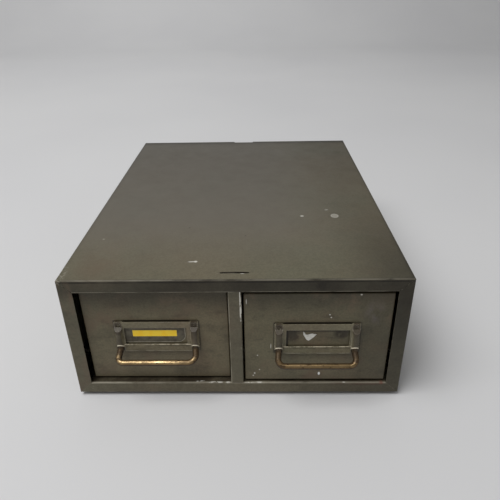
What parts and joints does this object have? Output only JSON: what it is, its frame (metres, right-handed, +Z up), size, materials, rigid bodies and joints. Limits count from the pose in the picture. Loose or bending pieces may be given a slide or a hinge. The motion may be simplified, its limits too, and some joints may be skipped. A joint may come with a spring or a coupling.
{
  "type": "card index drawer cabinet",
  "caption": "Low sheet-steel desktop cabinet with drawers side by side for index cards, each drawer with a label holder and a wire bail pull.",
  "frame": {"origin": "centre of the bounding box on the floor, handles included", "axes": "+X to the right seen from the front, +Y from the drawer fronts towards the back, +Z up"},
  "size_m": [0.4, 0.5277, 0.173],
  "materials": {
    "body_paint": "olive grey enamel, satin, aged and lightly worn at the edges",
    "drawer_paint": "olive grey enamel, satin, aged, with a warmer brown cast",
    "runner_steel": "thin olive paint rubbed to steel on the sliding faces",
    "handle_bronze": "dark bronze plating worn to bright metal on the bar",
    "foot_rubber": "black rubber, matt",
    "plated_steel": "dull plated steel",
    "label_tape": "yellow vinyl embossing tape, bare",
    "paper": "torn off-white paper"
  },
  "bodies": {
    "cabinet": {"outer_shell": "body_paint", "base_panel": "body_paint", "back_panel": "body_paint", "centre_partition": "body_paint", "centre_post": "body_paint", "front_left_foot": "foot_rubber", "back_left_foot": "foot_rubber", "front_right_foot": "foot_rubber", "back_right_foot": "foot_rubber", "foot_rivets": "plated_steel", "left_outer_runner": "runner_steel", "left_inner_runner": "runner_steel", "right_inner_runner": "runner_steel", "right_outer_runner": "runner_steel"},
    "left_drawer": {"left_drawer_front": "drawer_paint", "left_drawer_tray": "drawer_paint", "left_drawer_back": "drawer_paint", "left_outer_rail": "runner_steel", "left_inner_rail": "runner_steel", "left_label_holder": "drawer_paint", "left_bail_handle": "handle_bronze", "left_holder_rivets": "drawer_paint", "left_label_tape": "label_tape"},
    "left_follower": {"left_follower_plate": "drawer_paint", "left_follower_guides": "plated_steel"},
    "right_drawer": {"right_drawer_front": "drawer_paint", "right_drawer_tray": "drawer_paint", "right_drawer_back": "drawer_paint", "right_outer_rail": "runner_steel", "right_inner_rail": "runner_steel", "right_label_holder": "drawer_paint", "right_bail_handle": "handle_bronze", "right_holder_rivets": "drawer_paint", "right_paper_scrap": "paper"},
    "right_follower": {"right_follower_plate": "drawer_paint", "right_follower_guides": "plated_steel"}
  },
  "joints": [
    {"name": "left_drawer_slide", "type": "slide", "parent": "cabinet", "child": "left_drawer", "axis": [0, -1, 0], "range_m": [0, 0.4067]},
    {"name": "left_follower_slide", "type": "slide", "parent": "left_drawer", "child": "left_follower", "axis": [0, -1, 0], "range_m": [0, 0.361]},
    {"name": "right_drawer_slide", "type": "slide", "parent": "cabinet", "child": "right_drawer", "axis": [0, -1, 0], "range_m": [-0.005, 0.4017]},
    {"name": "right_follower_slide", "type": "slide", "parent": "right_drawer", "child": "right_follower", "axis": [0, -1, 0], "range_m": [0, 0.361]}
  ]
}
